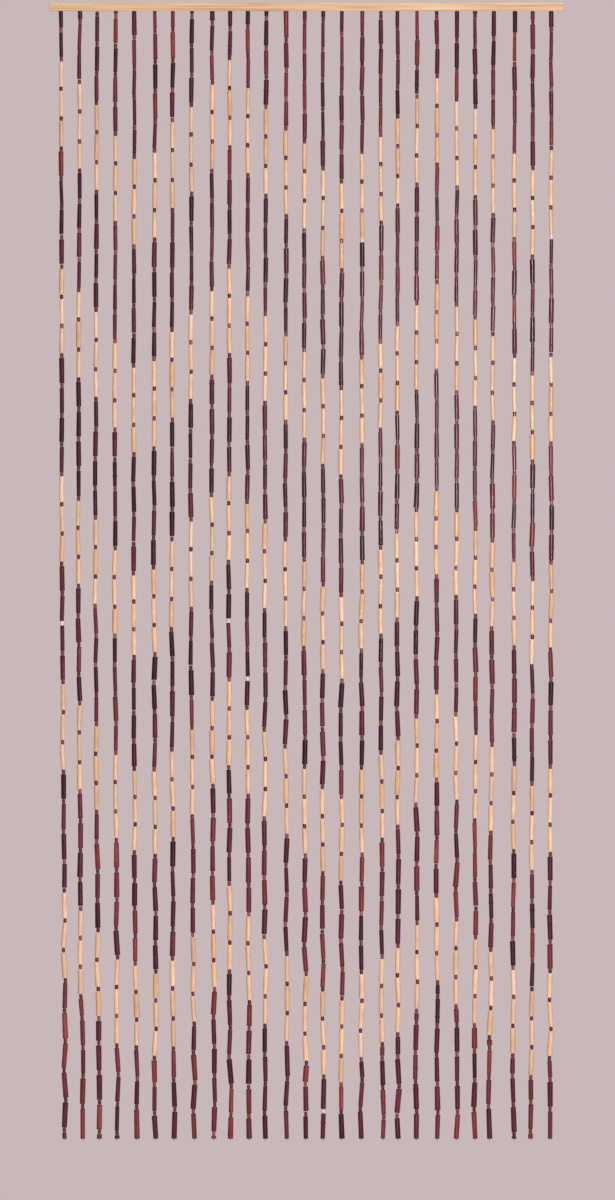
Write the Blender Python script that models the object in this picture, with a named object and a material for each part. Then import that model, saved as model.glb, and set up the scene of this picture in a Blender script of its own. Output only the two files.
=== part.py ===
"""Bamboo door curtain: strands of threaded bamboo tubes that hang from a narrow heading strip.

Metres, +Z up. The origin is the middle of the strip's top edge. X runs along the strip, and the
curtain is seen from -Y. Each strand is a chain of short tubes: dark ones, and runs of pale ones
whose heights go up and down from strand to strand and so draw a zigzag across the doorway.
"""

import math

import bmesh
import bpy
import numpy as np

MM = 0.001

# Heading strip that the strands' roots are fused into
STRIP_WIDTH = 900 * MM
STRIP_DEPTH = 12 * MM
STRIP_HEIGHT = 14 * MM

# Strands
STRAND_SPACING = 33 * MM
STRAND_LENGTH = 1980 * MM
STRAND_SIDES = 3

# One threaded unit: a tube, then the waist where a bead sits against the next tube. The stouter
# canes hang lower.
TUBE_WIDTH = 7.1 * MM
FOOT_TUBE_WIDTH = 8.6 * MM
TUBE_WIDTH_SPREAD = 1.1 * MM
WAIST_LENGTH = 8 * MM
WAIST_SHARE = 0.8
MOST_WAISTS = 35

# How unevenly the tubes were cut, and how far the joints stray: a little in depth, and sideways more
# and more towards the foot
CUT_SPREAD = 0.7 * MM
DEPTH_STRAY = 0.4 * MM
STRAY = 0.6 * MM
FOOT_STRAY = 2.2 * MM
SEED = 27
UNEVEN_THINGS = 4
MOST_TUBES = 48

# How the pale and dark tubes take turns: each run of pale tubes and the dark ones below it are a
# repeat, and the table gives the start of every second run.
PALE_RUN = 3
REPEAT = 7
SHORTEST_TUBE = 15 * MM
SHORTEST_STUB = 7 * MM

# One row for each strand, left to right, in millimetres: how far it hangs to the right of its even
# place at the strip, half way down and at the foot, and how far below the strip the first, the
# third and the fifth run of pale tubes begin and the last whole tube begins.
COLUMNS = ("top", "middle", "foot", "first_run", "third_run", "fifth_run", "last_tube")
STRANDS = (
    (-1, 1, 7, 89, 816, 1546, 1965),
    (-1, -4, 4, 128, 858, 1577, 1974),
    (-4, -7, -1, 165, 892, 1615, 1968),
    (-4, -6, 0, 220, 945, 1663, 1970),
    (-4, -6, 0, 260, 990, 1674, 1973),
    (-1, -3, 0, 249, 979, 1687, 1936),
    (-3, -5, -1, 195, 930, 1665, 1929),
    (-3, -5, 2, 169, 896, 1623, 1933),
    (0, -1, 4, 129, 853, 1566, 1971),
    (-2, -4, -1, 87, 816, 1534, 1939),
    (-3, -5, -1, 136, 864, 1587, 1941),
    (-4, -7, -6, 172, 899, 1627, 1936),
    (-2, -4, -1, 210, 930, 1657, 1927),
    (-3, -4, -1, 232, 965, 1692, 1937),
    (-4, -4, -4, 280, 1009, 1719, 1932),
    (-4, -5, -4, 303, 1027, 1734, 1933),
    (-1, -2, -3, 251, 971, 1688, 1928),
    (-1, -2, 2, 221, 945, 1662, 1942),
    (-5, -6, -4, 189, 915, 1642, 1940),
    (-4, -5, -5, 154, 878, 1602, 1932),
    (-2, -3, -2, 118, 842, 1554, 1935),
    (0, -1, -1, 159, 878, 1595, 1934),
    (-1, -1, -1, 172, 911, 1628, 1929),
    (-2, -4, -9, 207, 932, 1649, 1924),
    (2, 1, -1, 250, 966, 1681, 1921),
    (1, 0, -2, 280, 999, 1718, 1916),
    (0, 0, -2, 244, 970, 1686, 1928),
)

BAMBOO_BROWN = (0.19, 0.045, 0.05, 1.0)
BAMBOO_ROUGHNESS = 0.35


def remove_everything():
    """Clears the scene that the script starts in."""
    for item in list(bpy.data.objects):
        bpy.data.objects.remove(item, do_unlink=True)


def collection(name):
    """A new collection in the scene."""
    made = bpy.data.collections.new(name)
    bpy.context.scene.collection.children.link(made)
    return made


def lacquered_bamboo():
    """The dark red-brown of most of the tubes."""
    material = bpy.data.materials.new("lacquered_bamboo")
    material.use_nodes = True
    shader = material.node_tree.nodes["Principled BSDF"]
    shader.inputs["Base Color"].default_value = BAMBOO_BROWN
    shader.inputs["Roughness"].default_value = BAMBOO_ROUGHNESS
    shader.inputs["Metallic"].default_value = 0.0
    return material


def tube_tops(row, uneven):
    """Depths below the strip, in metres, at which a strand's tubes begin, from the top down.

    uneven holds a number from -1 to 1 for each tube.
    """
    first, third, fifth, last = (row[name] * MM for name in COLUMNS[3:])
    two_repeats = 2 * REPEAT
    upper = (third - first) / two_repeats
    lower = (fifth - third) / two_repeats
    foot = fifth + PALE_RUN * lower
    depths = np.concatenate((
        np.arange(first, 0, -upper)[:0:-1],
        first + upper * np.arange(two_repeats),
        third + lower * np.arange(two_repeats + PALE_RUN),
        # The tube under the last pale run is cut to what the whole ones below it leave.
        (foot,),
        np.arange(last, foot + SHORTEST_TUBE, -lower)[::-1],
        np.arange(last + lower, STRAND_LENGTH, lower),
    ))
    depths = depths + CUT_SPREAD * uneven[: len(depths)]
    return depths[(depths > WAIST_LENGTH) & (depths < STRAND_LENGTH - SHORTEST_STUB)]


def hang_line(number, row, depth):
    """The X at which a strand hangs at a depth, before its joints stray."""
    even = (number - (len(STRANDS) - 1) / 2) * STRAND_SPACING
    lengths = (0, STRAND_LENGTH / 2, STRAND_LENGTH)
    drift = np.interp(depth, lengths, [row[name] * MM for name in ("top", "middle", "foot")])
    return even + drift


def tube_widths(tops, uneven):
    """Widths of a strand's tubes: the one that hangs from the strip, then one below each top."""
    share = np.append(0, tops) / STRAND_LENGTH
    even = TUBE_WIDTH + (FOOT_TUBE_WIDTH - TUBE_WIDTH) * share
    return even + TUBE_WIDTH_SPREAD * uneven[: len(even)]


def strand_rings(number, row, uneven):
    """A strand's rings from the root to the foot, each as (x, y, depth, width).

    A tube narrows to its lower end, and the waist below it widens to the next tube's end. The
    strand has MOST_WAISTS waists, so the tubes nearest its two ends run on without one.
    """
    tops = tube_tops(row, uneven[0])
    widths = tube_widths(tops, uneven[1])
    first = (len(tops) - MOST_WAISTS) // 2
    rings = []
    for k in range(first, first + MOST_WAISTS):
        stray = STRAY + (FOOT_STRAY - STRAY) * (tops[k] / STRAND_LENGTH) ** 2
        x = hang_line(number, row, tops[k]) + stray * uneven[2][k]
        y = DEPTH_STRAY * uneven[3][k]
        rings.append((x, y, tops[k] - WAIST_LENGTH, WAIST_SHARE * widths[k]))
        rings.append((x, y, tops[k], widths[k + 1]))
    # The first tube is plumb, so that every strand is turned the same way.
    x, y, _, width = rings[0]
    rings.insert(0, (x, y, -STRIP_HEIGHT / 2, width / WAIST_SHARE))
    x, y, _, width = rings[-1]
    foot_x = hang_line(number, row, STRAND_LENGTH)
    rings.append((foot_x, y, STRAND_LENGTH, WAIST_SHARE * width))
    return rings


def strand_section():
    """The three-sided section that every strand has, with its width set by each ring."""
    curve = bpy.data.curves.new("strand_section", "CURVE")
    curve.dimensions = "2D"
    spline = curve.splines.new("POLY")
    spline.points.add(STRAND_SIDES - 1)
    corner = TUBE_WIDTH / math.sqrt(3)
    for k, point in enumerate(spline.points):
        angle = math.pi / 2 + 2 * math.pi * k / STRAND_SIDES
        point.co = (corner * math.cos(angle), corner * math.sin(angle), 0.0, 1.0)
    spline.use_cyclic_u = True
    return bpy.data.objects.new("strand_section", curve)


def strand_mesh(guides):
    """All the strands as closed shapes in one mesh, each swept along its own line."""
    section = strand_section()
    guides.objects.link(section)
    curve = bpy.data.curves.new("strand_lines", "CURVE")
    curve.dimensions = "3D"
    curve.twist_mode = "MINIMUM"
    curve.bevel_mode = "OBJECT"
    curve.bevel_object = section
    curve.use_fill_caps = True
    numbers = np.random.default_rng(SEED)
    for number, values in enumerate(STRANDS):
        row = dict(zip(COLUMNS, values, strict=True))
        uneven = numbers.uniform(-1, 1, (UNEVEN_THINGS, MOST_TUBES))
        rings = strand_rings(number, row, uneven)
        spline = curve.splines.new("POLY")
        spline.points.add(len(rings) - 1)
        for point, (x, y, depth, width) in zip(spline.points, rings, strict=True):
            point.co = (x, y, -STRIP_HEIGHT - depth, 1.0)
            point.radius = width / TUBE_WIDTH
    lines = bpy.data.objects.new("strand_lines", curve)
    guides.objects.link(lines)
    evaluated = lines.evaluated_get(bpy.context.evaluated_depsgraph_get())
    mesh = bpy.data.meshes.new_from_object(evaluated)
    bpy.data.objects.remove(lines, do_unlink=True)
    bpy.data.objects.remove(section, do_unlink=True)
    shape = bmesh.new()
    shape.from_mesh(mesh)
    bmesh.ops.remove_doubles(shape, verts=shape.verts, dist=0.01 * MM)
    bmesh.ops.recalc_face_normals(shape, faces=shape.faces)
    shape.to_mesh(mesh)
    shape.free()
    return mesh


def heading_strip():
    """The plain strip, with its top edge at the origin."""
    mesh = bpy.data.meshes.new("curtain")
    shape = bmesh.new()
    bmesh.ops.create_cube(shape, size=1.0)
    bmesh.ops.scale(shape, vec=(STRIP_WIDTH, STRIP_DEPTH, STRIP_HEIGHT), verts=shape.verts)
    bmesh.ops.translate(shape, vec=(0.0, 0.0, -STRIP_HEIGHT / 2), verts=shape.verts)
    shape.to_mesh(mesh)
    shape.free()
    return mesh


def build():
    """The curtain: the strip with every strand's root fused into its underside."""
    remove_everything()
    parts = collection("bamboo_door_curtain")
    guides = collection("guides")
    curtain = bpy.data.objects.new("curtain", heading_strip())
    curtain.data.materials.append(lacquered_bamboo())
    parts.objects.link(curtain)
    strands = bpy.data.objects.new("strands", strand_mesh(guides))
    strands.hide_render = True
    strands.display_type = "WIRE"
    guides.objects.link(strands)
    fuse = curtain.modifiers.new("fuse_roots", "BOOLEAN")
    fuse.operation = "UNION"
    fuse.solver = "EXACT"
    fuse.object = strands


build()
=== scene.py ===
"""Looks of the bamboo door curtain: each tube, bead and string, and the strip they hang from.

Metres, +Z up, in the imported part's own frame: the origin is the middle of the strip's top edge, X
runs along the strip, and the curtain is seen from -Y. The rows, sizes and seed that place the tubes
are the part's own, so every tube lies along its own stretch of the solid strand.
"""

import math

import bmesh
import bpy
import numpy as np
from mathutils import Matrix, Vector


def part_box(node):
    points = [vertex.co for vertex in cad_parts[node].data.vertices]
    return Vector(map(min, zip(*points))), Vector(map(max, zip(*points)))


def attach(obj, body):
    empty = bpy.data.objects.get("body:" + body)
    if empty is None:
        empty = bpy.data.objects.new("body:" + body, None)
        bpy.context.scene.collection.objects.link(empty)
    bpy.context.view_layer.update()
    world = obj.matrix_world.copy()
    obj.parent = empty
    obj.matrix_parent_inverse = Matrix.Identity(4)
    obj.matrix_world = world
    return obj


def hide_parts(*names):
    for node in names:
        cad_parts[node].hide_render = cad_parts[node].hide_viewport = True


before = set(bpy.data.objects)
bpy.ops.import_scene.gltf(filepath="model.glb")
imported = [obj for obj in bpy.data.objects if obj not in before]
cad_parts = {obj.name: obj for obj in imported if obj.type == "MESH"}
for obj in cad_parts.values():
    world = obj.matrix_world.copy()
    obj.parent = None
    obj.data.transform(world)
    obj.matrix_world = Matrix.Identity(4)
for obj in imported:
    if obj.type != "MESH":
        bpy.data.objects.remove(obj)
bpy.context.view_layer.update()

MM = 0.001
NODE = "curtain"
BODY = "root"

# Heading strip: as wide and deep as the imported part
BOX_LOW, BOX_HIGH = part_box(NODE)
STRIP_WIDTH = BOX_HIGH.x - BOX_LOW.x
STRIP_DEPTH = BOX_HIGH.y - BOX_LOW.y
STRIP_HEIGHT = 14 * MM
STRIP_EDGE = 1.2 * MM

# Strands and the tubes on them, as the part has them
STRAND_SPACING = 33 * MM
STRAND_LENGTH = 1980 * MM
TUBE_WIDTH = 7.1 * MM
FOOT_TUBE_WIDTH = 8.6 * MM
TUBE_WIDTH_SPREAD = 1.1 * MM
WAIST_LENGTH = 8 * MM
CUT_SPREAD = 0.7 * MM
DEPTH_STRAY = 0.4 * MM
STRAY = 0.6 * MM
FOOT_STRAY = 2.2 * MM
SEED = 27
UNEVEN_THINGS = 4
MOST_TUBES = 48
PALE_RUN = 3
REPEAT = 7
PALE_RUNS = 5
SHORTEST_TUBE = 15 * MM
SHORTEST_STUB = 7 * MM

# One row for each strand, left to right, in millimetres: how far it hangs to the right of its even
# place at the strip, half way down and at the foot, and how far below the strip the first, the
# third and the fifth run of pale tubes begin and the last whole tube begins.
COLUMNS = ("top", "middle", "foot", "first_run", "third_run", "fifth_run", "last_tube")
STRANDS = (
    (-1, 1, 7, 89, 816, 1546, 1965),
    (-1, -4, 4, 128, 858, 1577, 1974),
    (-4, -7, -1, 165, 892, 1615, 1968),
    (-4, -6, 0, 220, 945, 1663, 1970),
    (-4, -6, 0, 260, 990, 1674, 1973),
    (-1, -3, 0, 249, 979, 1687, 1936),
    (-3, -5, -1, 195, 930, 1665, 1929),
    (-3, -5, 2, 169, 896, 1623, 1933),
    (0, -1, 4, 129, 853, 1566, 1971),
    (-2, -4, -1, 87, 816, 1534, 1939),
    (-3, -5, -1, 136, 864, 1587, 1941),
    (-4, -7, -6, 172, 899, 1627, 1936),
    (-2, -4, -1, 210, 930, 1657, 1927),
    (-3, -4, -1, 232, 965, 1692, 1937),
    (-4, -4, -4, 280, 1009, 1719, 1932),
    (-4, -5, -4, 303, 1027, 1734, 1933),
    (-1, -2, -3, 251, 971, 1688, 1928),
    (-1, -2, 2, 221, 945, 1662, 1942),
    (-5, -6, -4, 189, 915, 1642, 1940),
    (-4, -5, -5, 154, 878, 1602, 1932),
    (-2, -3, -2, 118, 842, 1554, 1935),
    (0, -1, -1, 159, 878, 1595, 1934),
    (-1, -1, -1, 172, 911, 1628, 1929),
    (-2, -4, -9, 207, 932, 1649, 1924),
    (2, 1, -1, 250, 966, 1681, 1921),
    (1, 0, -2, 280, 999, 1718, 1916),
    (0, 0, -2, 244, 970, 1686, 1928),
)

# One bamboo tube, before it is stretched to its own length and width. Ten flat sides look a little
# narrower than their corners are apart, which SIDES_GAIN makes good.
PLAIN_TUBE = {
    "Tube Length": 43.7 * MM,
    "Tube Width": 7.2 * MM,
    "Bore Width": 3.6 * MM,
    "End Bevel": 0.35 * MM,
    "Sides": 10,
}
SIDES_GAIN = 1.05
PALE_WIDTH_SHARE = 1.02
TAPER = 0.06
OVAL = 0.06

# How far a tube's ends shift sideways, because its bore is wider than the string
END_PLAY = 0.5 * MM

# The low swelling that a few tubes keep where the cane had a joint
SWELLING = {
    "Tube Length": 4.5 * MM,
    "Tube Width": 7.2 * MM,
    "Bore Width": 5.2 * MM,
    "End Bevel": 0.9 * MM,
    "Sides": 10,
}
SWELLING_WIDTH_SHARE = 1.13
SWELLING_CHANCE = 0.04
SWELLING_REACH = 0.35

# One bead, and the strands (counted from the left) and depths at which a clear one hangs
BEAD = {
    "Bead Length": 7.9 * MM,
    "Bead Width": 6.5 * MM,
    "End Share": 0.86,
    "Rings": 6,
    "Sides": 10,
}
BARREL_POWER = 3.0
BEAD_SPREAD = 0.07
BEAD_LEAN = 0.06
DYED_SHARE = 0.9
CLEAR_BEADS = ((1, 1072), (10, 1087), (11, 1176), (15, 1930), (17, 400), (27, 394))

# Room between tube and bead. Where a strand is threaded loosely, its string shows there.
TIGHT_GAP = 0.15 * MM
LOOSE_GAP = 1.1 * MM
LOOSE_CHANCE = 0.05
SHORTEST_SEEN = 3 * MM

# The string and the knot at each foot
STRING_WIDTH = 1.2 * MM
STRING_SIDES = 6
STRING_PITCH = 2.4 * MM
KNOT_ROOM = 3.6 * MM
KNOT_WIDTH = 3.4 * MM
KNOT_POINTS = 30
STRIP_HOLD = 3 * MM

# Edges that turn more than this stay crisp, and points nearer than this are one.
CRISP_ANGLE = math.radians(40)
MERGE_DISTANCE = 0.001 * MM

# Painted shade, where the light falls off left of the middle: the dark tubes' tone is lowered in a
# patch there: its middle, how far it reaches sideways and up and down, and how much darker they are
PAINTED_SHADE_MIDDLE = (-210 * MM, -790 * MM)
PAINTED_SHADE_REACH = (420 * MM, 430 * MM)
PAINTED_SHADE_SHIFT = 0.62

LOOKS_SEED = 5
GRAIN_SEEDS = 100.0

# Patterns on the tubes and beads: how wide and how long their patches are, and how much finer
# detail is in them
LACQUER_FIBRE = (0.7 * MM, 16 * MM, 3.0)
LACQUER_CLOUD = (5 * MM, 18 * MM, 1.0)
LACQUER_STREAK = (1.8 * MM, 90 * MM, 0.0)
LACQUER_SPECK = (0.8 * MM, 1.0 * MM, 0.0)
BAMBOO_FIBRE = (0.6 * MM, 20 * MM, 3.0)
BAMBOO_CLOUD = (6 * MM, 22 * MM, 1.0)
BAMBOO_SPECK = (0.9 * MM, 1.3 * MM, 1.0)
RESIN_SWIRL = (2.5 * MM, 2.5 * MM, 2.0)

# Most of a noise's values lie between these.
NOISE_SPAN = (0.3, 0.7)

# What a pattern or the nearness of an end does: the two values between which it acts, and what
# they turn into. A shade multiplies the tone, and a share is how much of another colour shows.
LACQUER_FIBRE_SHADE = (*NOISE_SPAN, 0.8, 1.2)
LACQUER_CLOUD_SHADE = (*NOISE_SPAN, 0.84, 1.16)
LACQUER_STREAK_SHADE = (0.6, 0.72, 1.0, 1.5)
LACQUER_POOL_SHARE = (0.88, 0.97, 0.0, 0.6)
LACQUER_GLINT_SHARE = (0.77, 0.8, 0.0, 0.5)
LACQUER_ROUGHNESS = (0.0, GRAIN_SEEDS, 0.12, 0.28)
LACQUER_UNEVENNESS = (*NOISE_SPAN, -0.02, 0.05)
BAMBOO_FIBRE_SHADE = (*NOISE_SPAN, 0.85, 1.12)
BAMBOO_CLOUD_SHADE = (*NOISE_SPAN, 0.88, 1.1)
FRECKLE_SHARE = (0.7, 0.76, 0.0, 0.55)
BAMBOO_CUT_HIGHLIGHT_SHARE = (0.975, 0.99, 0.0, 0.5)
BAMBOO_ROUGHNESS = (*NOISE_SPAN, 0.42, 0.54)
RESIN_SHADE = (*NOISE_SPAN, 0.85, 1.15)
RESIN_RIM_SHADE_SHARE = (0.5, 1.0, 0.0, 0.5)
RESIN_ROUGHNESS = (*NOISE_SPAN, 0.14, 0.24)
WOOD_ROUGHNESS = (*NOISE_SPAN, 0.55, 0.42)

# How high the relief of each surface is
LACQUER_RELIEF = 0.03 * MM
BAMBOO_RELIEF = 0.02 * MM
STRING_RELIEF = 0.15 * MM
WOOD_RELIEF = 0.08 * MM

# Grain of the strip along X, Y and Z: the size of its streaks, how often they wander in a metre,
# and how far they do
WOOD_STREAK = (160 * MM, 2.2 * MM, 1.6 * MM)
WOOD_WANDERS = (5, 60, 60)
WOOD_WANDER_REACH = 2.5 * MM

# Tones. Those of tubes and beads run from the dullest to the brightest by their share of all of
# them, and those of string, wood and floor go by the value of their pattern.
LACQUER_TONES = (
    (0.0, "#34121d"),
    (0.2, "#491d26"),
    (0.4, "#531a27"),
    (0.6, "#5e262e"),
    (0.8, "#6c2831"),
    (0.93, "#782c33"),
    (1.0, "#863b41"),
)
LACQUER_POOL = "#2a0e16"
# Painted highlight: the colour of the small specks that stand for glints off pits in the lacquer
LACQUER_GLINT = "#a8806c"
BAMBOO_TONES = (
    (0.0, "#cea385"),
    (0.15, "#d8a77c"),
    (0.3, "#d3b294"),
    (0.5, "#deb697"),
    (0.7, "#e4b698"),
    (0.85, "#e2bb94"),
    (1.0, "#e5c2aa"),
)
FRECKLE = "#8f6038"
# Painted highlight: the paler colour at the rim of each cut end
BAMBOO_CUT_HIGHLIGHT = "#efdcc2"
RESIN_TONES = (
    (0.0, "#501c15"),
    (0.3, "#63271f"),
    (0.6, "#74332b"),
    (0.8, "#86403a"),
    (DYED_SHARE, "#9b5353"),
    (1.0, "#dccdc8"),
)
# Painted shade: the darker colour towards each bead's two rims
RESIN_RIM_SHADE = "#3a1510"
COTTON_TONES = ((0.0, "#b9ab9b"), (1.0, "#e6dccf"))
WOOD_TONES = ((0.3, "#b98d60"), (0.5, "#d3ad80"), (0.7, "#e0c096"))
FLOOR_TONES = ((0.3, "#cdc1c0"), (0.7, "#d3c7c6"))
BACKDROP = "#c8b8b9"
AMBIENT = 0.15

# The photograph's frame: its size, the size of a pixel, the row of the strip's underside and the
# column of the curtain's middle
PHOTO_WIDTH = 615
PHOTO_HEIGHT = 1200
PHOTO_PIXEL = 1.7525 * MM
UNDERSIDE_ROW = 11
MIDDLE_COLUMN = 306.35
CAMERA_AWAY = 5.0

# The broad light that falls on curtain and floor alike: where it comes from, watts for each square
# metre, and how wide it looks, which softens its shadows
BROAD_FROM = (0.3, -1.0, 1.5)
BROAD_POWER = 2.6
BROAD_ANGLE = math.radians(30)

# Softboxes in metres and watts: where each one stands, the point it faces, how wide and high it
# is, and its power
LIGHTS = {
    "key_light": ((0.8, -3.0, -0.8), (0, 0, -1), 0.8, 2.6, 46),
    "fill_light": ((-1.8, -2.6, -0.8), (0, 0, -1), 1.2, 2.4, 4),
    "back_light": ((-0.4, 2.6, 1.3), (0, 0, -0.9), 2.0, 1.8, 55),
    "shine_light": ((0.5, -2.2, -0.68), (0.32, 0, -0.68), 0.3, 0.6, 1.3),
}

# The shine light's beam, which draws bright lines on the lacquer in the right half of the curtain
SHINE_BEAM = math.radians(26)

FLOOR_REACH = 120.0
FLOOR_BELOW = 20 * MM

# Numbers of a Mix node's sockets for its two colours and their mix
MIX_FROM = 6
MIX_TO = 7
MIX_RESULT = 2


def linear(colour):
    """An sRGB hex colour as linear red, green, blue and 1."""
    parts = [int(colour[k : k + 2], 16) / 255 for k in (1, 3, 5)]
    return (*(p / 12.92 if p <= 0.04045 else ((p + 0.055) / 1.055) ** 2.4 for p in parts), 1.0)


def set_inputs(tree, node, inputs):
    """Sets a node's inputs, given in order, or by name or number.

    One given as a node or an output is linked, a node by its first output, and anything else is
    the input's value.
    """
    for key, value in inputs.items() if isinstance(inputs, dict) else enumerate(inputs):
        if isinstance(value, bpy.types.Node):
            value = value.outputs[0]
        if isinstance(value, bpy.types.NodeSocket):
            tree.links.new(value, node.inputs[key])
        else:
            node.inputs[key].default_value = value


def add_node(tree, kind, inputs=(), stops=(), **settings):
    """A new node with its settings and inputs, and a colour ramp's (place, sRGB hex) stops."""
    made = tree.nodes.new(kind)
    for name, value in settings.items():
        setattr(made, name, value)
    set_inputs(tree, made, inputs)
    if stops:
        elements = made.color_ramp.elements
        while len(elements) < len(stops):
            elements.new(0.5)
        for element, (place, colour) in zip(elements, stops, strict=True):
            element.position = place
            element.color = linear(colour)
    return made


def tube_tops(row, uneven):
    """Depths below the strip, in metres, at which a strand's tubes begin, from the top down.

    uneven holds a number from -1 to 1 for each tube.
    """
    first, third, fifth, last = (row[name] * MM for name in COLUMNS[3:])
    two_repeats = 2 * REPEAT
    upper = (third - first) / two_repeats
    lower = (fifth - third) / two_repeats
    foot = fifth + PALE_RUN * lower
    depths = np.concatenate((
        np.arange(first, 0, -upper)[:0:-1],
        first + upper * np.arange(two_repeats),
        third + lower * np.arange(two_repeats + PALE_RUN),
        # The tube under the last pale run is cut to what the whole ones below it leave.
        (foot,),
        np.arange(last, foot + SHORTEST_TUBE, -lower)[::-1],
        np.arange(last + lower, STRAND_LENGTH, lower),
    ))
    depths = depths + CUT_SPREAD * uneven[: len(depths)]
    return depths[(depths > WAIST_LENGTH) & (depths < STRAND_LENGTH - SHORTEST_STUB)]


def hang_line(number, row, depth):
    """The X at which a strand hangs at a depth, before its joints stray."""
    even = (number - (len(STRANDS) - 1) / 2) * STRAND_SPACING
    lengths = (0, STRAND_LENGTH / 2, STRAND_LENGTH)
    drift = np.interp(depth, lengths, [row[name] * MM for name in ("top", "middle", "foot")])
    return even + drift


def tube_widths(tops, uneven):
    """Widths of a strand's tubes: the one that hangs from the strip, then one below each top."""
    share = np.append(0, tops) / STRAND_LENGTH
    even = TUBE_WIDTH + (FOOT_TUBE_WIDTH - TUBE_WIDTH) * share
    return even + TUBE_WIDTH_SPREAD * uneven[: len(even)]


def thread_strand(number, row, uneven, looks):
    """One strand: its tubes and beads as dictionaries of columns with a row for each, which tubes
    are pale, and the line of its string."""
    tops = tube_tops(row, uneven[0])
    count = len(tops)
    stray = STRAY + (FOOT_STRAY - STRAY) * (tops / STRAND_LENGTH) ** 2
    x = hang_line(number, row, tops) + stray * uneven[2][:count]
    y = DEPTH_STRAY * uneven[3][:count]
    foot_x = hang_line(number, row, STRAND_LENGTH)
    gaps = np.where(looks.random(count) < LOOSE_CHANCE, LOOSE_GAP, TIGHT_GAP)
    # Each tube runs from one joint's point to the next one's, ends at strip and foot included.
    starts = np.column_stack((
        np.append(x[0], x),
        np.append(y[0], y),
        -STRIP_HEIGHT - np.append(TIGHT_GAP, tops + TIGHT_GAP),
    ))
    ends = np.column_stack((
        np.append(x, foot_x),
        np.append(y, y[-1]),
        -STRIP_HEIGHT - np.append(tops - WAIST_LENGTH - gaps, STRAND_LENGTH - KNOT_ROOM),
    ))
    # A short piece keeps nearly plumb: it shifts and leans only as far as its length lets it.
    room = np.minimum((starts - ends)[:, 2] / PLAIN_TUBE["Tube Length"], 1)[:, None]
    ends[-1, 0] = starts[-1, 0] + room[-1, 0] * (foot_x - starts[-1, 0])
    joints = np.column_stack((x, y, -STRIP_HEIGHT - tops + WAIST_LENGTH / 2))
    line = np.vstack((starts[:1], joints, ends[-1:]))
    for tube_ends in (starts, ends):
        tube_ends[:, :2] += END_PLAY * room * looks.uniform(-1, 1, (count + 1, 2))
    widths = SIDES_GAIN * tube_widths(tops, uneven[1])
    tubes = tube_columns(starts, ends, widths, looks)
    first_pale = 1 + int(np.argmin(np.abs(tops - row["first_run"] * MM)))
    place = np.arange(count + 1) - first_pale
    pale = (place >= 0) & (place < PALE_RUNS * REPEAT) & (place % REPEAT < PALE_RUN)
    tubes["stretch"][pale, :2] *= PALE_WIDTH_SHARE
    # Painted shade: dark tubes near that patch get a lower tone, so they look darker there.
    away = (tubes["middle"][:, (0, 2)] - PAINTED_SHADE_MIDDLE) / PAINTED_SHADE_REACH
    shaded_tone = tubes["tone"] - PAINTED_SHADE_SHIFT * np.exp(-np.sum(away**2, axis=1))
    tubes["tone"] = np.where(pale, tubes["tone"], np.maximum(shaded_tone, 0))
    beads = bead_columns(joints, tubes["upward"], looks)
    for strand, depth in CLEAR_BEADS:
        if strand == number + 1:
            beads["tone"][np.argmin(np.abs(tops - depth * MM))] = 1.0
    # A sliver beside the strip is left off, and the string shows there.
    whole = (starts - ends)[:, 2] > SHORTEST_SEEN
    return chosen_rows(tubes, whole), pale[whole], beads, line


def tube_columns(starts, ends, widths, looks):
    """What the tube tree reads for each tube, worked out from its two ends and its width."""
    count = len(starts)
    span = starts - ends
    length = np.linalg.norm(span, axis=1)
    across = widths / PLAIN_TUBE["Tube Width"]
    oval = 1 - OVAL * looks.random(count)
    return {
        "middle": (starts + ends) / 2,
        "upward": span / length[:, None],
        "stretch": np.column_stack((across, across * oval, length / PLAIN_TUBE["Tube Length"])),
        "spin": looks.uniform(0, 2 * math.pi, count),
        "taper": looks.uniform(-TAPER, TAPER, count),
        "tone": looks.random(count),
        "grain": looks.uniform(0, GRAIN_SEEDS, count),
    }


def bead_columns(joints, upward, looks):
    """What the bead tree reads for each bead: it leans as the tubes above and below it do."""
    count = len(joints)
    lean = upward[:-1] + upward[1:]
    lean[:, :2] += 2 * BEAD_LEAN * looks.uniform(-1, 1, (count, 2))
    girth, height = 1 + BEAD_SPREAD * looks.uniform(-1, 1, (2, count))
    return {
        "middle": joints,
        "upward": lean / np.linalg.norm(lean, axis=1)[:, None],
        "stretch": np.column_stack((girth, girth, np.minimum(height, 1.0))),
        "spin": looks.uniform(0, 2 * math.pi, count),
        "taper": np.zeros(count),
        "tone": DYED_SHARE * looks.random(count),
        "grain": looks.uniform(0, GRAIN_SEEDS, count),
    }


def swelling_columns(tubes, looks):
    """A swelling on a few of the tubes, with what the tube tree reads for it."""
    chosen = looks.random(len(tubes["tone"])) < SWELLING_CHANCE
    swellings = chosen_rows(tubes, chosen)
    length = swellings["stretch"][:, 2] * PLAIN_TUBE["Tube Length"]
    reach = length * looks.uniform(-SWELLING_REACH, SWELLING_REACH, len(length))
    swellings["middle"] = swellings["middle"] + swellings["upward"] * reach[:, None]
    swellings["stretch"][:, :2] *= SWELLING_WIDTH_SHARE
    swellings["stretch"][:, 2] = 1.0
    swellings["taper"][:] = 0.0
    return swellings


def chosen_rows(columns, chosen):
    """The rows of the columns for which chosen is true, as a copy."""
    return {name: values[chosen] for name, values in columns.items()}


def stacked(parts):
    """Several dictionaries of the same columns as one, each under the last."""
    return {name: np.concatenate([part[name] for part in parts]) for name in parts[0]}


def point_mesh(name, columns):
    """A mesh of loose points that holds one value a point for each column."""
    mesh = bpy.data.meshes.new(name)
    mesh.from_pydata(columns["middle"].tolist(), [], [])
    for column, values in columns.items():
        kind, field = ("FLOAT_VECTOR", "vector") if values.ndim == 2 else ("FLOAT", "value")
        attribute = mesh.attributes.new(column, kind, "POINT")
        attribute.data.foreach_set(field, values.ravel().astype(np.float32))
    return mesh


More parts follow.
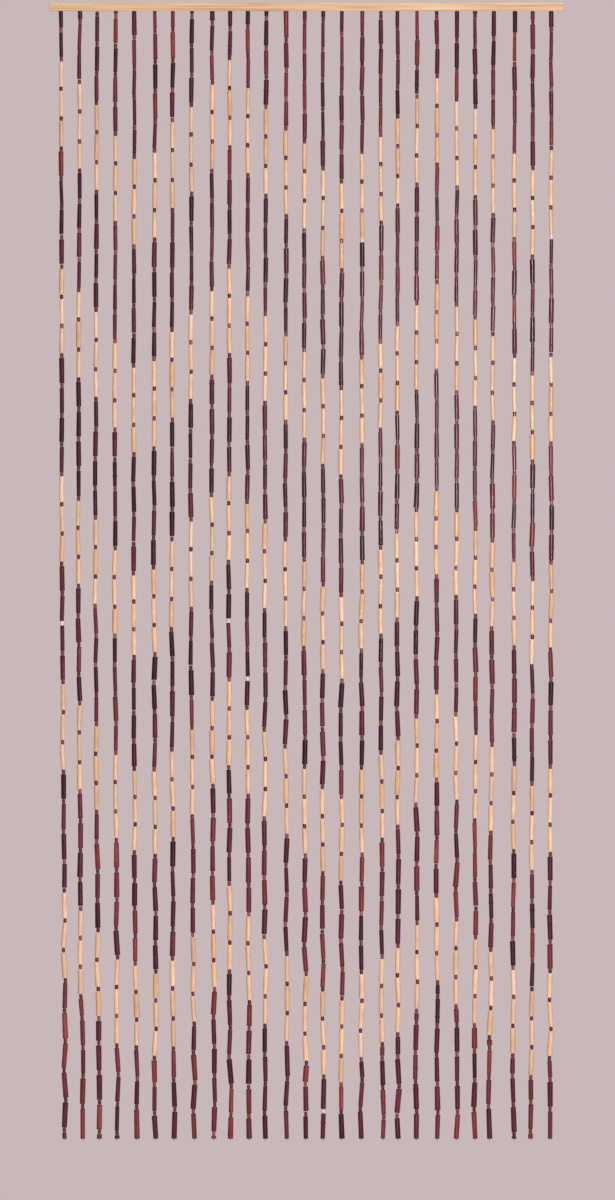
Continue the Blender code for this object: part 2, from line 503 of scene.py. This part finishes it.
def line_mesh(name, lines):
    """A mesh of open lines of edges, one for each list of points."""
    mesh = bpy.data.meshes.new(name)
    points = []
    edges = []
    for line in lines:
        first = len(points)
        points.extend(line.tolist())
        edges.extend((k, k + 1) for k in range(first, len(points) - 1))
    mesh.from_pydata(points, edges, [])
    return mesh


def new_tree(name, sockets):
    """An empty Geometry Nodes tree with a geometry input, the named inputs and one output."""
    tree = bpy.data.node_groups.new(name, "GeometryNodeTree")
    tree.interface.new_socket("Geometry", in_out="OUTPUT", socket_type="NodeSocketGeometry")
    tree.interface.new_socket("Geometry", in_out="INPUT", socket_type="NodeSocketGeometry")
    for socket, kind in sockets.items():
        tree.interface.new_socket(socket, in_out="INPUT", socket_type="NodeSocket" + kind)
    return tree


def closed_shape(tree, swept):
    """A swept shape with its seams closed, smooth but for its crisp edges."""
    closed = add_node(
        tree, "GeometryNodeMergeByDistance", {"Geometry": swept, "Distance": MERGE_DISTANCE}
    )
    smooth = add_node(tree, "GeometryNodeSetShadeSmooth", {"Geometry": closed}, domain="FACE")
    edge_angle = add_node(tree, "GeometryNodeInputMeshEdgeAngle")
    crisp = add_node(tree, "FunctionNodeCompare", (edge_angle, CRISP_ANGLE))
    return add_node(
        tree, "GeometryNodeSetShadeSmooth",
        {"Geometry": smooth, "Selection": crisp, "Shade Smooth": False}, domain="EDGE",
    )


def end_tree(tree, shape, material):
    """Gives the shape its material and hands it to the tree's output."""
    coloured = add_node(tree, "GeometryNodeSetMaterial", {"Geometry": shape, "Material": material})
    add_node(tree, "NodeGroupOutput", {"Geometry": coloured})


def copy_to_points(tree, shape, points, height):
    """The shape on every point, turned, stretched and tapered as the columns say.

    Each copy keeps the attribute place, where a point was on the shape as it was made.
    """
    upward, stretch, middle, place, spin, taper = (
        add_node(tree, "GeometryNodeInputNamedAttribute", {"Name": name}, data_type=kind)
        for name, kind in (
            ("upward", "FLOAT_VECTOR"), ("stretch", "FLOAT_VECTOR"), ("middle", "FLOAT_VECTOR"),
            ("place", "FLOAT_VECTOR"), ("spin", "FLOAT"), ("taper", "FLOAT"),
        )
    )
    position = add_node(tree, "GeometryNodeInputPosition")
    marked = add_node(
        tree, "GeometryNodeStoreNamedAttribute",
        {"Geometry": shape, "Name": "place", "Value": position},
        data_type="FLOAT_VECTOR", domain="POINT",
    )
    lean = add_node(tree, "FunctionNodeAlignRotationToVector", {"Vector": upward}, axis="Z")
    rolled = add_node(tree, "FunctionNodeAxisAngleToRotation", {"Axis": (0, 0, 1), "Angle": spin})
    turn = add_node(
        tree, "FunctionNodeRotateRotation", {"Rotation": lean, "Rotate By": rolled},
        rotation_space="LOCAL",
    )
    copies = add_node(
        tree, "GeometryNodeInstanceOnPoints",
        {"Points": points, "Instance": marked, "Rotation": turn, "Scale": stretch},
    )
    realized = add_node(tree, "GeometryNodeRealizeInstances", {"Geometry": copies})
    # The taper moves a point straight out from its copy's axis, more the further it is along it.
    along = add_node(tree, "ShaderNodeSeparateXYZ", (place,)).outputs["Z"]
    tall = add_node(tree, "ShaderNodeSeparateXYZ", (stretch,)).outputs["Z"]
    reach = add_node(tree, "ShaderNodeMath", (along, tall), operation="MULTIPLY")
    axis = add_node(tree, "ShaderNodeVectorMath", (upward, reach, middle), operation="MULTIPLY_ADD")
    outward = add_node(tree, "ShaderNodeVectorMath", (position, axis), operation="SUBTRACT")
    half = add_node(tree, "ShaderNodeMath", (height, 2.0), operation="DIVIDE")
    share = add_node(tree, "ShaderNodeMath", (along, half), operation="DIVIDE")
    widen = add_node(tree, "ShaderNodeMath", (share, taper), operation="MULTIPLY")
    move = add_node(tree, "ShaderNodeVectorMath", {0: outward, "Scale": widen}, operation="SCALE")
    return add_node(tree, "GeometryNodeSetPosition", {"Geometry": realized, "Offset": move})


def tube_tree():
    """Hollow tubes with bevelled ends: the wall's section is turned round the bore."""
    tree = new_tree("threaded_tubes", {
        "Tube Length": "Float", "Tube Width": "Float", "Bore Width": "Float", "End Bevel": "Float",
        "Sides": "Int", "Material": "Material",
    })
    given = add_node(tree, "NodeGroupInput").outputs
    widths = given["Tube Width"], given["Bore Width"]
    both = add_node(tree, "ShaderNodeMath", widths, operation="ADD")
    middle = add_node(tree, "ShaderNodeMath", (both, 4.0), operation="DIVIDE")
    twice = add_node(tree, "ShaderNodeMath", widths, operation="SUBTRACT")
    wall = add_node(tree, "ShaderNodeMath", (twice, 2.0), operation="DIVIDE")
    section = add_node(
        tree, "GeometryNodeCurvePrimitiveQuadrilateral", {"Width": wall, "Height": given["Tube Length"]}
    )
    position = add_node(tree, "GeometryNodeInputPosition")
    across = add_node(tree, "ShaderNodeSeparateXYZ", (position,)).outputs["X"]
    outer = add_node(tree, "ShaderNodeMath", (across, 0.0), operation="GREATER_THAN")
    bevel = add_node(tree, "ShaderNodeMath", (outer, given["End Bevel"]), operation="MULTIPLY")
    bevelled = add_node(
        tree, "GeometryNodeFilletCurve", {"Curve": section, "Count": 1, "Radius": bevel}, mode="POLY"
    )
    ring = add_node(
        tree, "GeometryNodeCurvePrimitiveCircle", {"Resolution": given["Sides"], "Radius": middle}
    )
    turned = add_node(tree, "GeometryNodeCurveToMesh", {"Curve": ring, "Profile Curve": bevelled})
    tube = closed_shape(tree, turned)
    tubes = copy_to_points(tree, tube, given["Geometry"], given["Tube Length"])
    end_tree(tree, tubes, given["Material"])
    return tree


def bead_tree():
    """Barrel beads: a circle swept down a short line, widest half way."""
    tree = new_tree("threaded_beads", {
        "Bead Length": "Float", "Bead Width": "Float", "End Share": "Float",
        "Rings": "Int", "Sides": "Int", "Material": "Material",
    })
    given = add_node(tree, "NodeGroupInput").outputs
    half = add_node(tree, "ShaderNodeMath", (given["Bead Length"], 2.0), operation="DIVIDE")
    top = add_node(tree, "ShaderNodeCombineXYZ", {"Z": half})
    bottom = add_node(tree, "ShaderNodeVectorMath", {0: top, "Scale": -1.0}, operation="SCALE")
    line = add_node(tree, "GeometryNodeCurvePrimitiveLine", {"Start": bottom, "End": top})
    rings = add_node(tree, "GeometryNodeResampleCurve", {"Curve": line, "Count": given["Rings"]})
    # The rings crowd towards the two rims, where the barrel curves most.
    factor = add_node(tree, "GeometryNodeSplineParameter").outputs["Factor"]
    angle = add_node(tree, "ShaderNodeMath", (factor, math.pi), operation="MULTIPLY")
    cosine = add_node(tree, "ShaderNodeMath", (angle,), operation="COSINE")
    crowded = add_node(tree, "ShaderNodeVectorMath", {0: bottom, "Scale": cosine}, operation="SCALE")
    placed = add_node(tree, "GeometryNodeSetPosition", {"Geometry": rings, "Position": crowded})
    share = add_node(tree, "ShaderNodeMath", (cosine,), operation="ABSOLUTE")
    bent = add_node(tree, "ShaderNodeMath", (share, BARREL_POWER), operation="POWER")
    drawn_in = add_node(tree, "ShaderNodeMath", (given["End Share"], 1.0), operation="SUBTRACT")
    width = add_node(tree, "ShaderNodeMath", (bent, drawn_in, 1.0), operation="MULTIPLY_ADD")
    radius = add_node(tree, "ShaderNodeMath", (given["Bead Width"], 2.0), operation="DIVIDE")
    circle = add_node(
        tree, "GeometryNodeCurvePrimitiveCircle", {"Resolution": given["Sides"], "Radius": radius}
    )
    barrel = add_node(
        tree, "GeometryNodeCurveToMesh",
        {"Curve": placed, "Profile Curve": circle, "Scale": width, "Fill Caps": True},
    )
    bead = closed_shape(tree, barrel)
    beads = copy_to_points(tree, bead, given["Geometry"], given["Bead Length"])
    end_tree(tree, beads, given["Material"])
    return tree


def string_tree():
    """Strings swept along lines. Each keeps how far along it a point is, as the attribute along,
    and on which side of it, as the unit vector side."""
    tree = new_tree("strings", {"String Width": "Float", "Sides": "Int", "Material": "Material"})
    given = add_node(tree, "NodeGroupInput").outputs
    path = add_node(tree, "GeometryNodeMeshToCurve", {"Mesh": given["Geometry"]})
    length = add_node(tree, "GeometryNodeSplineParameter").outputs["Length"]
    along = add_node(
        tree, "GeometryNodeStoreNamedAttribute", {"Geometry": path, "Name": "along", "Value": length},
        data_type="FLOAT", domain="POINT",
    )
    radius = add_node(tree, "ShaderNodeMath", (given["String Width"], 2.0), operation="DIVIDE")
    circle = add_node(
        tree, "GeometryNodeCurvePrimitiveCircle", {"Resolution": given["Sides"], "Radius": radius}
    )
    position = add_node(tree, "GeometryNodeInputPosition")
    outward = add_node(tree, "ShaderNodeVectorMath", (position,), operation="NORMALIZE")
    sided = add_node(
        tree, "GeometryNodeStoreNamedAttribute", {"Geometry": circle, "Name": "side", "Value": outward},
        data_type="FLOAT_VECTOR", domain="POINT",
    )
    swept = add_node(
        tree, "GeometryNodeCurveToMesh", {"Curve": along, "Profile Curve": sided, "Fill Caps": True}
    )
    end_tree(tree, closed_shape(tree, swept), given["Material"])
    return tree


def grown(name, mesh, tree, sizes, material):
    """An object with the mesh that a tree makes on a mesh of points or lines."""
    piece = bpy.data.objects.new(name, mesh)
    bpy.context.scene.collection.objects.link(piece)
    modifier = piece.modifiers.new(tree.name, "NODES")
    modifier.node_group = tree
    for socket in tree.interface.items_tree:
        if socket.in_out == "INPUT" and socket.name in sizes:
            modifier[socket.identifier] = sizes[socket.name]
        elif socket.name == "Material":
            modifier[socket.identifier] = material
    depsgraph = bpy.context.evaluated_depsgraph_get()
    made = bpy.data.meshes.new_from_object(
        piece.evaluated_get(depsgraph), preserve_all_data_layers=True, depsgraph=depsgraph
    )
    piece.modifiers.remove(modifier)
    piece.data = made
    made.name = name
    for column in ("middle", "upward", "stretch", "spin", "taper"):
        if column in made.attributes:
            made.attributes.remove(made.attributes[column])
    return piece


def new_material(name):
    """A material with its tree and its shader node."""
    material = bpy.data.materials.new(name)
    material.use_nodes = True
    return material, material.node_tree, material.node_tree.nodes["Principled BSDF"]


def mottle(tree, width, length, detail):
    """Noise of patches so wide and so long on each tube or bead, different on every one, as a
    value round 0.5."""
    place = add_node(tree, "ShaderNodeAttribute", attribute_name="place").outputs["Vector"]
    grain = add_node(tree, "ShaderNodeAttribute", attribute_name="grain").outputs["Fac"]
    scaled = add_node(
        tree, "ShaderNodeMapping", {"Vector": place, "Scale": (1 / width, 1 / width, 1 / length)}
    )
    return add_node(
        tree, "ShaderNodeTexNoise", {"Vector": scaled, "W": grain, "Scale": 1.0, "Detail": detail},
        noise_dimensions="4D",
    )


def end_nearness(tree, length):
    """How near a point is to the end of its tube or bead: 0 half way along and 1 at the cut."""
    place = add_node(tree, "ShaderNodeAttribute", attribute_name="place").outputs["Vector"]
    along = add_node(tree, "ShaderNodeSeparateXYZ", (place,)).outputs["Z"]
    away = add_node(tree, "ShaderNodeMath", (along,), operation="ABSOLUTE")
    return add_node(tree, "ShaderNodeMath", (away, length / 2), operation="DIVIDE")


def lacquered_bamboo():
    """Bamboo cane dipped in red-brown lacquer: wine-dark tubes, no two quite the same, with the
    cane's fibres as lengthwise streaks, a darker band where the lacquer gathered at each cut end,
    and a few small pale specks, painted highlights where pits in the lacquer glint."""
    material, tree, shader = new_material("lacquered_bamboo")
    tone = add_node(tree, "ShaderNodeAttribute", attribute_name="tone").outputs["Fac"]
    lacquer = add_node(tree, "ShaderNodeValToRGB", (tone,), LACQUER_TONES)
    fine = mottle(tree, *LACQUER_FIBRE)
    cloud = mottle(tree, *LACQUER_CLOUD)
    streak = mottle(tree, *LACQUER_STREAK)
    fibres = add_node(tree, "ShaderNodeMapRange", (fine, *LACQUER_FIBRE_SHADE))
    clouds = add_node(tree, "ShaderNodeMapRange", (cloud, *LACQUER_CLOUD_SHADE))
    streaks = add_node(tree, "ShaderNodeMapRange", (streak, *LACQUER_STREAK_SHADE))
    shade = add_node(tree, "ShaderNodeMath", (fibres, clouds), operation="MULTIPLY")
    lighter = add_node(tree, "ShaderNodeMath", (shade, streaks), operation="MULTIPLY")
    streaked = add_node(tree, "ShaderNodeVectorMath", {0: lacquer, "Scale": lighter}, operation="SCALE")
    nearness = end_nearness(tree, PLAIN_TUBE["Tube Length"])
    pool = add_node(tree, "ShaderNodeMapRange", (nearness, *LACQUER_POOL_SHARE))
    pooled = add_node(
        tree, "ShaderNodeMix", {"Factor": pool, MIX_FROM: streaked, MIX_TO: linear(LACQUER_POOL)},
        data_type="RGBA",
    ).outputs[MIX_RESULT]
    # Painted highlights: small pale specks where pits in the lacquer would glint.
    speck = mottle(tree, *LACQUER_SPECK)
    painted_glints = add_node(tree, "ShaderNodeMapRange", (speck, *LACQUER_GLINT_SHARE))
    colour = add_node(
        tree, "ShaderNodeMix", {"Factor": painted_glints, MIX_FROM: pooled, MIX_TO: linear(LACQUER_GLINT)},
        data_type="RGBA",
    ).outputs[MIX_RESULT]
    # Some tubes took the lacquer smoothly and shine, and others stay duller.
    grain = add_node(tree, "ShaderNodeAttribute", attribute_name="grain").outputs["Fac"]
    even = add_node(tree, "ShaderNodeMapRange", (grain, *LACQUER_ROUGHNESS))
    uneven = add_node(tree, "ShaderNodeMapRange", (fine, *LACQUER_UNEVENNESS))
    relief = add_node(
        tree, "ShaderNodeBump", {"Height": fine, "Distance": LACQUER_RELIEF, "Strength": 1.0}
    )
    set_inputs(tree, shader, {
        "Base Color": colour,
        "Roughness": add_node(tree, "ShaderNodeMath", (even, uneven), operation="ADD"),
        "IOR": 1.5,
        "Specular IOR Level": 0.22,
        "Normal": relief,
    })
    return material


def natural_bamboo():
    """Undyed bamboo cane, scraped and sanded to a satin skin: straw, peach and tan, with fine
    fibres, a few freckles and a painted highlight that makes the rim at each cut end paler."""
    material, tree, shader = new_material("natural_bamboo")
    tone = add_node(tree, "ShaderNodeAttribute", attribute_name="tone").outputs["Fac"]
    skin = add_node(tree, "ShaderNodeValToRGB", (tone,), BAMBOO_TONES)
    fine = mottle(tree, *BAMBOO_FIBRE)
    cloud = mottle(tree, *BAMBOO_CLOUD)
    fibres = add_node(tree, "ShaderNodeMapRange", (fine, *BAMBOO_FIBRE_SHADE))
    clouds = add_node(tree, "ShaderNodeMapRange", (cloud, *BAMBOO_CLOUD_SHADE))
    shade = add_node(tree, "ShaderNodeMath", (fibres, clouds), operation="MULTIPLY")
    shaded = add_node(tree, "ShaderNodeVectorMath", {0: skin, "Scale": shade}, operation="SCALE")
    speck = mottle(tree, *BAMBOO_SPECK)
    freckles = add_node(tree, "ShaderNodeMapRange", (speck, *FRECKLE_SHARE))
    freckled = add_node(
        tree, "ShaderNodeMix", {"Factor": freckles, MIX_FROM: shaded, MIX_TO: linear(FRECKLE)},
        data_type="RGBA",
    ).outputs[MIX_RESULT]
    # Painted highlight: the tube turns paler at its rims and cut ends.
    nearness = end_nearness(tree, PLAIN_TUBE["Tube Length"])
    cut_highlight = add_node(tree, "ShaderNodeMapRange", (nearness, *BAMBOO_CUT_HIGHLIGHT_SHARE))
    colour = add_node(
        tree, "ShaderNodeMix", {"Factor": cut_highlight, MIX_FROM: freckled, MIX_TO: linear(BAMBOO_CUT_HIGHLIGHT)},
        data_type="RGBA",
    ).outputs[MIX_RESULT]
    relief = add_node(
        tree, "ShaderNodeBump", {"Height": fine, "Distance": BAMBOO_RELIEF, "Strength": 1.0}
    )
    set_inputs(tree, shader, {
        "Base Color": colour,
        "Roughness": add_node(tree, "ShaderNodeMapRange", (fine, *BAMBOO_ROUGHNESS)),
        "IOR": 1.5,
        "Specular IOR Level": 0.4,
        "Normal": relief,
    })
    return material


def polished_resin():
    """Moulded resin, tumbled until it shines: brick-red to brown beads with a sharp highlight, painted
    shade towards the two rims, some of them pinker where less dye took, and a few clear."""
    material, tree, shader = new_material("polished_resin")
    tone = add_node(tree, "ShaderNodeAttribute", attribute_name="tone").outputs["Fac"]
    resin = add_node(tree, "ShaderNodeValToRGB", (tone,), RESIN_TONES)
    swirl = mottle(tree, *RESIN_SWIRL)
    shade = add_node(tree, "ShaderNodeMapRange", (swirl, *RESIN_SHADE))
    body = add_node(tree, "ShaderNodeVectorMath", {0: resin, "Scale": shade}, operation="SCALE")
    nearness = end_nearness(tree, BEAD["Bead Length"])
    rim = add_node(tree, "ShaderNodeMapRange", (nearness, *RESIN_RIM_SHADE_SHARE))
    # Painted shade darkens each bead towards its two rims, and the clear ones have none.
    dyed = add_node(tree, "ShaderNodeMapRange", (tone, DYED_SHARE, 1.0, 1.0, 0.0))
    painted_rim_shade = add_node(tree, "ShaderNodeMath", (rim, dyed), operation="MULTIPLY")
    colour = add_node(
        tree, "ShaderNodeMix", {"Factor": painted_rim_shade, MIX_FROM: body, MIX_TO: linear(RESIN_RIM_SHADE)},
        data_type="RGBA",
    ).outputs[MIX_RESULT]
    set_inputs(tree, shader, {
        "Base Color": colour,
        "Roughness": add_node(tree, "ShaderNodeMapRange", (swirl, *RESIN_ROUGHNESS)),
        "IOR": 1.49,
        "Specular IOR Level": 0.4,
    })
    return material


def cotton_string():
    """Bleached cotton string laid from two yarns: off-white and matt, with the slanting shade
    lines of its twist."""
    material, tree, shader = new_material("cotton_string")
    along = add_node(tree, "ShaderNodeAttribute", attribute_name="along").outputs["Fac"]
    side = add_node(tree, "ShaderNodeAttribute", attribute_name="side").outputs["Vector"]
    phase = add_node(tree, "ShaderNodeMath", (along, 2 * math.pi / STRING_PITCH), operation="MULTIPLY")
    sine = add_node(tree, "ShaderNodeMath", (phase,), operation="SINE")
    cosine = add_node(tree, "ShaderNodeMath", (phase,), operation="COSINE")
    turning = add_node(tree, "ShaderNodeCombineXYZ", (sine, cosine))
    facing = add_node(tree, "ShaderNodeVectorMath", (turning, side), operation="DOT_PRODUCT")
    # Two yarns: the crown of one or the other faces out twice in a turn.
    crown = add_node(tree, "ShaderNodeMath", (facing.outputs["Value"],), operation="ABSOLUTE")
    relief = add_node(
        tree, "ShaderNodeBump", {"Height": crown, "Distance": STRING_RELIEF, "Strength": 1.0}
    )
    set_inputs(tree, shader, {
        "Base Color": add_node(tree, "ShaderNodeValToRGB", (crown,), COTTON_TONES),
        "Roughness": 0.85,
        "Sheen Weight": 0.1,
        "Normal": relief,
    })
    return material


def planed_wood():
    """A planed softwood batten, oiled: straight pale grain along the strip with darker growth
    lines, which stay a little duller than the wood between them."""
    material, tree, shader = new_material("planed_wood")
    place = add_node(tree, "ShaderNodeTexCoord").outputs["Object"]
    stretched = add_node(tree, "ShaderNodeMapping", {"Vector": place, "Scale": WOOD_WANDERS})
    wander = add_node(tree, "ShaderNodeTexNoise", {"Vector": stretched, "Scale": 1.0, "Detail": 2.0})
    bent = add_node(
        tree, "ShaderNodeVectorMath", {0: wander.outputs["Color"], "Scale": WOOD_WANDER_REACH},
        operation="SCALE",
    )
    moved = add_node(tree, "ShaderNodeVectorMath", (place, bent), operation="ADD")
    drawn_out = add_node(
        tree, "ShaderNodeMapping",
        {"Vector": moved, "Scale": tuple(1 / size for size in WOOD_STREAK)},
    )
    grain = add_node(tree, "ShaderNodeTexNoise", {"Vector": drawn_out, "Scale": 1.0, "Detail": 2.0})
    relief = add_node(
        tree, "ShaderNodeBump", {"Height": grain, "Distance": WOOD_RELIEF, "Strength": 1.0}
    )
    set_inputs(tree, shader, {
        "Base Color": add_node(tree, "ShaderNodeValToRGB", (grain,), WOOD_TONES),
        "Roughness": add_node(tree, "ShaderNodeMapRange", (grain, *WOOD_ROUGHNESS)),
        "IOR": 1.48,
        "Normal": relief,
    })
    return material


def painted_floor():
    """Matt painted floor, as pale as the backdrop."""
    material, tree, shader = new_material("painted_floor")
    place = add_node(tree, "ShaderNodeTexCoord").outputs["Object"]
    noise = add_node(tree, "ShaderNodeTexNoise", {"Vector": place, "Scale": 3.0, "Detail": 4.0})
    colour = add_node(tree, "ShaderNodeValToRGB", (noise,), FLOOR_TONES)
    set_inputs(tree, shader, {"Base Color": colour, "Roughness": 0.9})
    return material


def knot_line(foot):
    """A small overhand knot in the string just below a strand's last tube, as a line."""
    angles = np.linspace(0, 2 * math.pi, KNOT_POINTS)
    # A trefoil, flattened and stood on edge, is the shape of an overhand knot pulled tight.
    loop = np.column_stack((
        np.sin(angles) + 2 * np.sin(2 * angles),
        -np.sin(3 * angles),
        np.cos(angles) - 2 * np.cos(2 * angles),
    ))
    loop = loop * (KNOT_WIDTH - STRING_WIDTH) / 2 / np.abs(loop).max()
    return loop + foot - np.array((0.0, 0.0, KNOT_WIDTH / 2 + TIGHT_GAP))


def strings(lines, material):
    """All the strings from the strip to the foot, each with its knot and tail."""
    runs = []
    for line in lines:
        held = line[0] + np.array((0.0, 0.0, STRIP_HOLD))
        tail = line[-1] - np.array((0.0, 0.0, KNOT_ROOM))
        runs.append(np.vstack((held, line, tail)))
        runs.append(knot_line(line[-1]))
    sizes = {"String Width": STRING_WIDTH, "Sides": STRING_SIDES}
    return grown("strings", line_mesh("string_lines", runs), string_tree(), sizes, material)


def heading_strip(material):
    """The wooden strip with softened edges, in the place of the part's own strip."""
    shape = bmesh.new()
    bmesh.ops.create_cube(shape, size=1.0)
    bmesh.ops.scale(shape, vec=(STRIP_WIDTH, STRIP_DEPTH, STRIP_HEIGHT), verts=shape.verts)
    bmesh.ops.translate(shape, vec=(0.0, 0.0, -STRIP_HEIGHT / 2), verts=shape.verts)
    bmesh.ops.bevel(
        shape, geom=shape.edges[:], offset=STRIP_EDGE, segments=3, affect="EDGES", profile=0.5
    )
    mesh = bpy.data.meshes.new("heading_strip")
    shape.to_mesh(mesh)
    shape.free()
    mesh.shade_smooth()
    mesh.set_sharp_from_angle(angle=CRISP_ANGLE)
    mesh.materials.append(material)
    piece = bpy.data.objects.new("heading_strip", mesh)
    bpy.context.scene.collection.objects.link(piece)
    return piece


def hand_over(piece):
    """Lets a finished piece ride with the part and stand for its solid, which is hidden."""
    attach(piece, BODY)
    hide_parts(NODE)


def curtain():
    """Every piece of the curtain."""
    dark, pale, resin, cotton, wood = (
        lacquered_bamboo(), natural_bamboo(), polished_resin(), cotton_string(), planed_wood()
    )
    tubes_on_points, beads_on_points = tube_tree(), bead_tree()
    numbers = np.random.default_rng(SEED)
    looks = np.random.default_rng(LOOKS_SEED)
    lines = []
    swellings = []
    for number, values in enumerate(STRANDS):
        row = dict(zip(COLUMNS, values, strict=True))
        uneven = numbers.uniform(-1, 1, (UNEVEN_THINGS, MOST_TUBES))
        tubes, is_pale, beads, line = thread_strand(number, row, uneven, looks)
        lines.append(line)
        dark_tubes = chosen_rows(tubes, ~is_pale)
        pale_tubes = chosen_rows(tubes, is_pale)
        swellings.append(swelling_columns(dark_tubes, looks))
        strand = f"strand_{number + 1:02d}"
        for name, columns, tree, sizes, material, slot in (
            ("dark_tubes", dark_tubes, tubes_on_points, PLAIN_TUBE, dark, "dark_bamboo"),
            ("pale_tubes", pale_tubes, tubes_on_points, PLAIN_TUBE, pale, "pale_bamboo"),
            ("beads", beads, beads_on_points, BEAD, resin, "bead"),
        ):
            name = f"{strand}_{name}"
            hand_over(grown(name, point_mesh(name, columns), tree, sizes, material))
    points = point_mesh("cane_swellings", stacked(swellings))
    hand_over(grown("cane_swellings", points, tubes_on_points, SWELLING, dark))
    hand_over(strings(lines, cotton))
    hand_over(heading_strip(wood))


def front_camera():
    """A camera without perspective straight in front of the curtain, framed as the photograph is."""
    data = bpy.data.cameras.new("front_camera")
    data.type = "ORTHO"
    data.ortho_scale = PHOTO_HEIGHT * PHOTO_PIXEL
    camera = bpy.data.objects.new("front_camera", data)
    x = (PHOTO_WIDTH / 2 - MIDDLE_COLUMN) * PHOTO_PIXEL
    z = -STRIP_HEIGHT - (PHOTO_HEIGHT / 2 - UNDERSIDE_ROW) * PHOTO_PIXEL
    camera.location = (x, -CAMERA_AWAY, z)
    camera.rotation_euler = (math.pi / 2, 0, 0)
    bpy.context.scene.collection.objects.link(camera)
    bpy.context.scene.camera = camera


def softbox(name, place, faced, width, height, power):
    """A soft studio light that faces a point and doesn't show itself."""
    data = bpy.data.lights.new(name, "AREA")
    data.shape = "RECTANGLE"
    data.size = width
    data.size_y = height
    data.energy = power
    light = bpy.data.objects.new(name, data)
    light.location = place
    light.rotation_euler = (Vector(faced) - Vector(place)).to_track_quat("-Z", "Y").to_euler()
    light.visible_camera = False
    bpy.context.scene.collection.objects.link(light)
    return light


def broad_light():
    """A wide, even light from high in front, as from a studio ceiling."""
    data = bpy.data.lights.new("broad_light", "SUN")
    data.energy = BROAD_POWER
    data.angle = BROAD_ANGLE
    light = bpy.data.objects.new("broad_light", data)
    light.rotation_euler = (-Vector(BROAD_FROM)).to_track_quat("-Z", "Y").to_euler()
    bpy.context.scene.collection.objects.link(light)


def studio():
    """The pale backdrop colour all round, the floor just below the curtain, and the lights."""
    world = bpy.data.worlds.new("backdrop")
    world.use_nodes = True
    tree = world.node_tree
    # The backdrop shows at full strength, and lights the curtain less than the lamps do.
    seen = add_node(tree, "ShaderNodeLightPath").outputs["Is Camera Ray"]
    strength = add_node(tree, "ShaderNodeMapRange", (seen, 0.0, 1.0, AMBIENT, 1.0))
    set_inputs(tree, tree.nodes["Background"], {"Color": linear(BACKDROP), "Strength": strength})
    bpy.context.scene.world = world
    mesh = bpy.data.meshes.new("floor")
    shape = bmesh.new()
    bmesh.ops.create_grid(shape, x_segments=1, y_segments=1, size=FLOOR_REACH)
    bmesh.ops.translate(shape, vec=(0.0, 0.0, BOX_LOW.z - FLOOR_BELOW), verts=shape.verts)
    shape.to_mesh(mesh)
    shape.free()
    mesh.materials.append(painted_floor())
    floor = bpy.data.objects.new("floor", mesh)
    bpy.context.scene.collection.objects.link(floor)
    broad_light()
    lights = {name: softbox(name, *values) for name, values in LIGHTS.items()}
    # The shine light only draws highlights, so that it doesn't wash out the pale tubes.
    lights["shine_light"].data.spread = SHINE_BEAM
    lights["shine_light"].visible_diffuse = False


curtain()
front_camera()
studio()
bpy.context.scene.view_settings.view_transform = "Standard"
